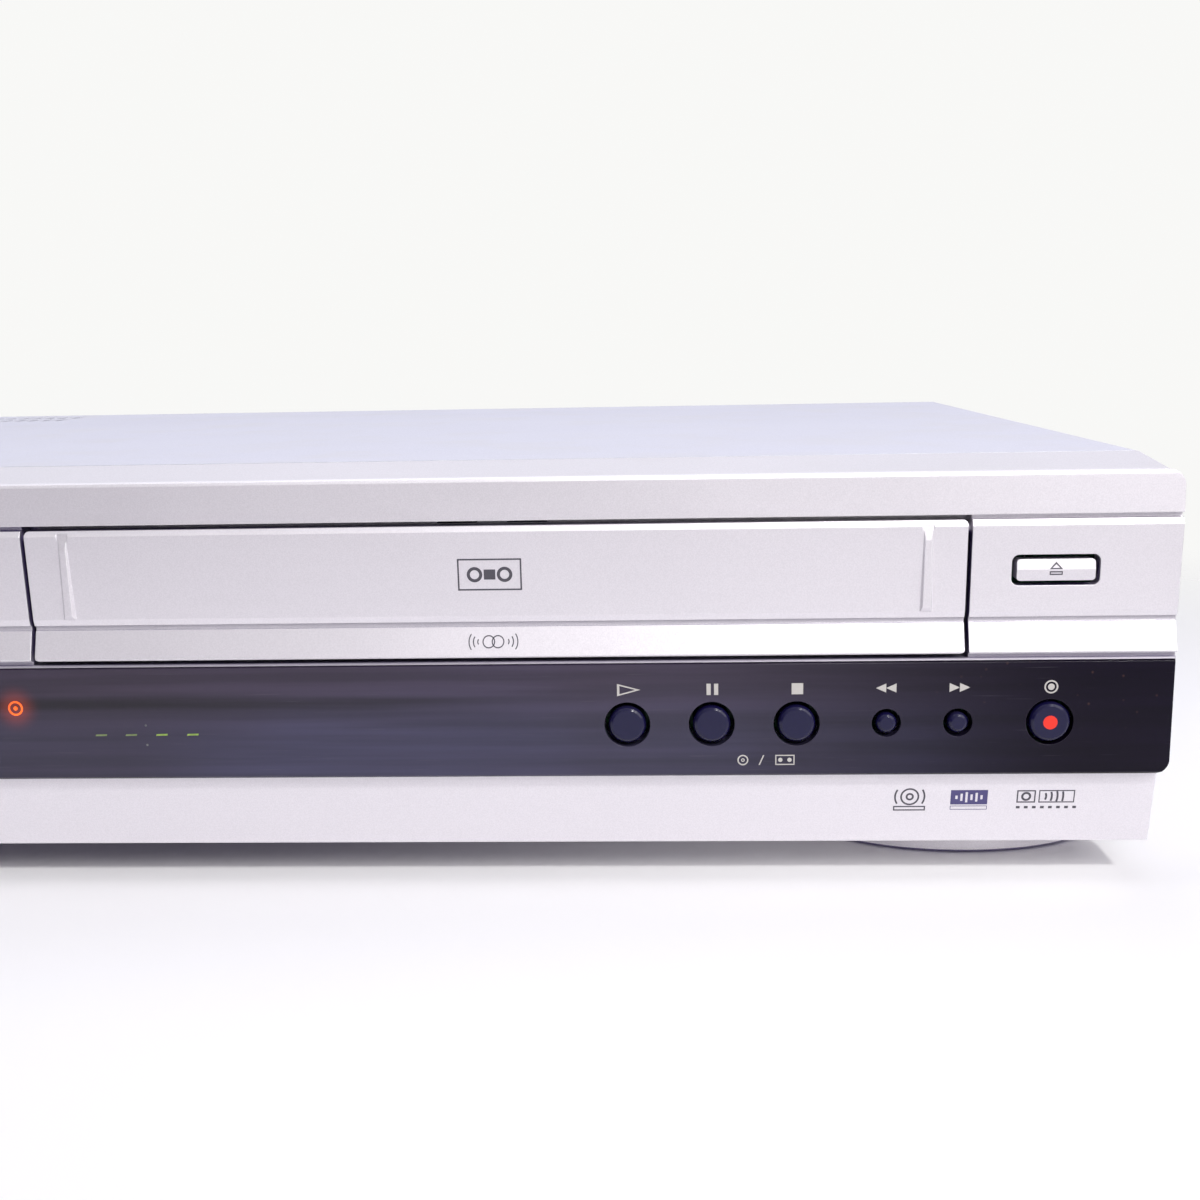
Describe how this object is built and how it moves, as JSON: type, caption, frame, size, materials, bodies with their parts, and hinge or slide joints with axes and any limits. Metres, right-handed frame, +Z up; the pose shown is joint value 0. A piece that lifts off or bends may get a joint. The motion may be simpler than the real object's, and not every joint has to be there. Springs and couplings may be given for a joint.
{
  "type": "disc and cassette player",
  "caption": "Low silver home deck with a disc tray on the left, a cassette door on the right and a smoked window with round transport buttons.",
  "frame": {"origin": "on the resting plane, under the middle of the whole housing with its rear connectors", "axes": "+Z up, -Y the front with the tray and the door, +X to the right seen from the front"},
  "size_m": [0.43, 0.265, 0.0995],
  "materials": {
    "silver_plastic": "metallic silver paint, satin, fine grain",
    "smoked_window": "gloss, smoked",
    "cover_paint": "textured silver paint",
    "zinc_steel": "zinc-plated sheet, satin",
    "machined_steel": "turned and polished",
    "black_plastic": "moulded, fine grain",
    "grey_plastic": "moulded, fine grain",
    "white_plastic": "moulded, natural acetal",
    "button_black": "gloss",
    "rubber": "matte",
    "circuit_board": "solder resist, satin",
    "supply_board": "phenolic board, matte",
    "copper_winding": "taped winding, satin",
    "brass": "nickel-brass, polished",
    "display_glass": "gloss",
    "aluminium_drum": "diamond-turned"
  },
  "bodies": {
    "housing": {"front_panel": "silver_plastic", "window_panel": "smoked_window", "door_spring": "machined_steel", "top_cover": "cover_paint", "chassis_base": "zinc_steel", "rear_panel": "zinc_steel", "front_feet": "silver_plastic", "rear_feet": "rubber", "cover_screws": "zinc_steel", "loader_frame": "black_plastic", "loading_motor": "machined_steel", "loading_belt": "rubber", "clamp_bridge": "zinc_steel", "deck_plate": "zinc_steel", "carriage_frame": "zinc_steel", "drum_lower": "aluminium_drum", "capstan_motor": "circuit_board", "erase_head": "machined_steel", "control_head": "machined_steel", "main_board": "circuit_board", "power_board": "supply_board", "transformer": "copper_winding", "front_board": "circuit_board", "display_tube": "display_glass", "tuner_can": "zinc_steel", "rear_jacks": "black_plastic", "front_jacks": "brass", "mains_gland": "black_plastic"},
    "door": {"cassette_door": "silver_plastic"},
    "tray": {"disc_tray": "black_plastic", "tray_bezel": "silver_plastic"},
    "pinion": {"tray_pinion": "white_plastic"},
    "pulley": {"pulley_gear": "white_plastic"},
    "motor_shaft": {"motor_pulley": "white_plastic"},
    "traverse": {"traverse_plate": "zinc_steel"},
    "disc_hub": {"turntable": "black_plastic"},
    "pickup": {"pickup_sled": "grey_plastic"},
    "pickup_gear": {"sled_gear": "white_plastic"},
    "clamp": {"clamp_puck": "white_plastic"},
    "carriage": {"carriage_slides": "white_plastic"},
    "basket": {"cassette_basket": "zinc_steel"},
    "drum": {"drum_upper": "aluminium_drum"},
    "capstan": {"capstan": "machined_steel"},
    "pinch": {"pinch_arm": "zinc_steel"},
    "roller": {"pinch_roller": "rubber"},
    "supply_table": {"supply_reel": "black_plastic"},
    "takeup_table": {"takeup_reel": "black_plastic"},
    "idler": {"idler_arm": "zinc_steel"},
    "idler_disc": {"idler_wheel": "white_plastic"},
    "supply_loader": {"supply_guide": "brass"},
    "takeup_loader": {"takeup_guide": "brass"},
    "eject_key": {"eject_button": "silver_plastic"},
    "open_close_key": {"open_close_button": "silver_plastic"},
    "power_key": {"power_button": "button_black"},
    "play_key": {"play_button": "button_black"},
    "pause_key": {"pause_button": "button_black"},
    "stop_key": {"stop_button": "button_black"},
    "rewind_key": {"rewind_button": "button_black"},
    "forward_key": {"forward_button": "button_black"},
    "record_key": {"record_button": "button_black"}
  },
  "joints": [
    {"name": "door_swing", "type": "hinge", "parent": "housing", "child": "door", "pos_m": [0.062, -0.1286, 0.0844], "axis": [1, 0, 0], "range_deg": [0, 92], "stiffness_Nm_per_rad": 0.012, "springref_deg": -22.92},
    {"name": "tray_slide", "type": "slide", "parent": "housing", "child": "tray", "axis": [0, -1, 0], "range_m": [0, 0.135]},
    {"name": "pinion_turn", "type": "hinge", "parent": "housing", "child": "pinion", "pos_m": [-0.163, -0.106, 0.064], "axis": [0, 0, 1], "range_deg": [-6, 865.4]},
    {"name": "pulley_turn", "type": "hinge", "parent": "housing", "child": "pulley", "pos_m": [-0.1422, -0.106, 0.064], "axis": [0, 0, 1], "range_deg": [-2870.8, 6]},
    {"name": "motor_turn", "type": "hinge", "parent": "housing", "child": "motor_shaft", "pos_m": [-0.1122, -0.106, 0.067], "axis": [0, 0, 1], "range_deg": [-8728.5, 6]},
    {"name": "traverse_lift", "type": "hinge", "parent": "housing", "child": "traverse", "pos_m": [-0.119, 0.044, 0.061], "axis": [-1, 0, 0], "range_deg": [0, 3.6]},
    {"name": "disc_spin", "type": "hinge", "parent": "traverse", "child": "disc_hub", "pos_m": [-0.119, -0.062, 0.066], "axis": [0, 0, 1], "continuous": true},
    {"name": "pickup_travel", "type": "slide", "parent": "traverse", "child": "pickup", "axis": [0, 1, 0], "range_m": [0, 0.036]},
    {"name": "pickup_gear_turn", "type": "hinge", "parent": "traverse", "child": "pickup_gear", "pos_m": [-0.0884, -0.014, 0.064], "axis": [0, 0, 1], "range_deg": [-376, 6]},
    {"name": "clamp_spin", "type": "hinge", "parent": "housing", "child": "clamp", "pos_m": [-0.119, -0.062, 0.084], "axis": [0, 0, 1], "continuous": true},
    {"name": "carriage_travel", "type": "slide", "parent": "housing", "child": "carriage", "axis": [0, 1, 0], "range_m": [0, 0.04]},
    {"name": "basket_drop", "type": "slide", "parent": "carriage", "child": "basket", "axis": [0, 0, -1], "range_m": [0, 0.018]},
    {"name": "drum_spin", "type": "hinge", "parent": "housing", "child": "drum", "pos_m": [0.062, 0.08, 0.044], "axis": [0, 0.1045, 0.9945], "continuous": true},
    {"name": "capstan_spin", "type": "hinge", "parent": "housing", "child": "capstan", "pos_m": [0.128, 0.046, 0.04], "axis": [0, 0, 1], "continuous": true},
    {"name": "pinch_swing", "type": "hinge", "parent": "housing", "child": "pinch", "pos_m": [0.148, 0.064, 0.03], "axis": [0, 0, 1], "range_deg": [0, 34], "stiffness_Nm_per_rad": 0.01, "springref_deg": -11.46},
    {"name": "roller_spin", "type": "hinge", "parent": "pinch", "child": "roller", "pos_m": [0.12642, 0.06627, 0.047], "axis": [0, 0, 1], "continuous": true},
    {"name": "supply_spin", "type": "hinge", "parent": "housing", "child": "supply_table", "pos_m": [0.0163, -0.012, 0.035], "axis": [0, 0, 1], "continuous": true},
    {"name": "takeup_spin", "type": "hinge", "parent": "housing", "child": "takeup_table", "pos_m": [0.1077, -0.012, 0.035], "axis": [0, 0, 1], "continuous": true},
    {"name": "idler_swing", "type": "hinge", "parent": "housing", "child": "idler", "pos_m": [0.062, -0.048, 0.028], "axis": [0, 0, 1], "range_deg": [-14, 14]},
    {"name": "idler_spin", "type": "hinge", "parent": "idler", "child": "idler_disc", "pos_m": [0.062, -0.014, 0.03], "axis": [0, 0, 1], "continuous": true},
    {"name": "supply_guide_travel", "type": "slide", "parent": "housing", "child": "supply_loader", "axis": [0.3162, 0.9487, 0], "range_m": [0, 0.0504]},
    {"name": "takeup_guide_travel", "type": "slide", "parent": "housing", "child": "takeup_loader", "axis": [-0.3162, 0.9487, 0], "range_m": [0, 0.0504]},
    {"name": "eject_press", "type": "slide", "parent": "housing", "child": "eject_key", "axis": [0, 1, 0], "range_m": [0, 0.0008], "stiffness_N_per_m": 400, "springref_m": -0.0015},
    {"name": "open_close_press", "type": "slide", "parent": "housing", "child": "open_close_key", "axis": [0, 1, 0], "range_m": [0, 0.0008], "stiffness_N_per_m": 400, "springref_m": -0.0015},
    {"name": "power_press", "type": "slide", "parent": "housing", "child": "power_key", "axis": [0, 1, 0], "range_m": [0, 0.0008], "stiffness_N_per_m": 400, "springref_m": -0.0015},
    {"name": "play_press", "type": "slide", "parent": "housing", "child": "play_key", "axis": [0, 1, 0], "range_m": [0, 0.0008], "stiffness_N_per_m": 400, "springref_m": -0.0015},
    {"name": "pause_press", "type": "slide", "parent": "housing", "child": "pause_key", "axis": [0, 1, 0], "range_m": [0, 0.0008], "stiffness_N_per_m": 400, "springref_m": -0.0015},
    {"name": "stop_press", "type": "slide", "parent": "housing", "child": "stop_key", "axis": [0, 1, 0], "range_m": [0, 0.0008], "stiffness_N_per_m": 400, "springref_m": -0.0015},
    {"name": "rewind_press", "type": "slide", "parent": "housing", "child": "rewind_key", "axis": [0, 1, 0], "range_m": [0, 0.0008], "stiffness_N_per_m": 400, "springref_m": -0.0015},
    {"name": "forward_press", "type": "slide", "parent": "housing", "child": "forward_key", "axis": [0, 1, 0], "range_m": [0, 0.0008], "stiffness_N_per_m": 400, "springref_m": -0.0015},
    {"name": "record_press", "type": "slide", "parent": "housing", "child": "record_key", "axis": [0, 1, 0], "range_m": [0, 0.0008], "stiffness_N_per_m": 400, "springref_m": -0.0015}
  ],
  "couplings": [
    {"joint": "pinion_turn", "follows": "tray_slide", "rad_per_m": 111.11},
    {"joint": "pulley_turn", "follows": "tray_slide", "rad_per_m": -370.37},
    {"joint": "motor_turn", "follows": "tray_slide", "rad_per_m": -1127.7},
    {"joint": "pickup_gear_turn", "follows": "pickup_travel", "rad_per_m": -178.57},
    {"joint": "takeup_guide_travel", "follows": "supply_guide_travel", "ratio": 1}
  ]
}
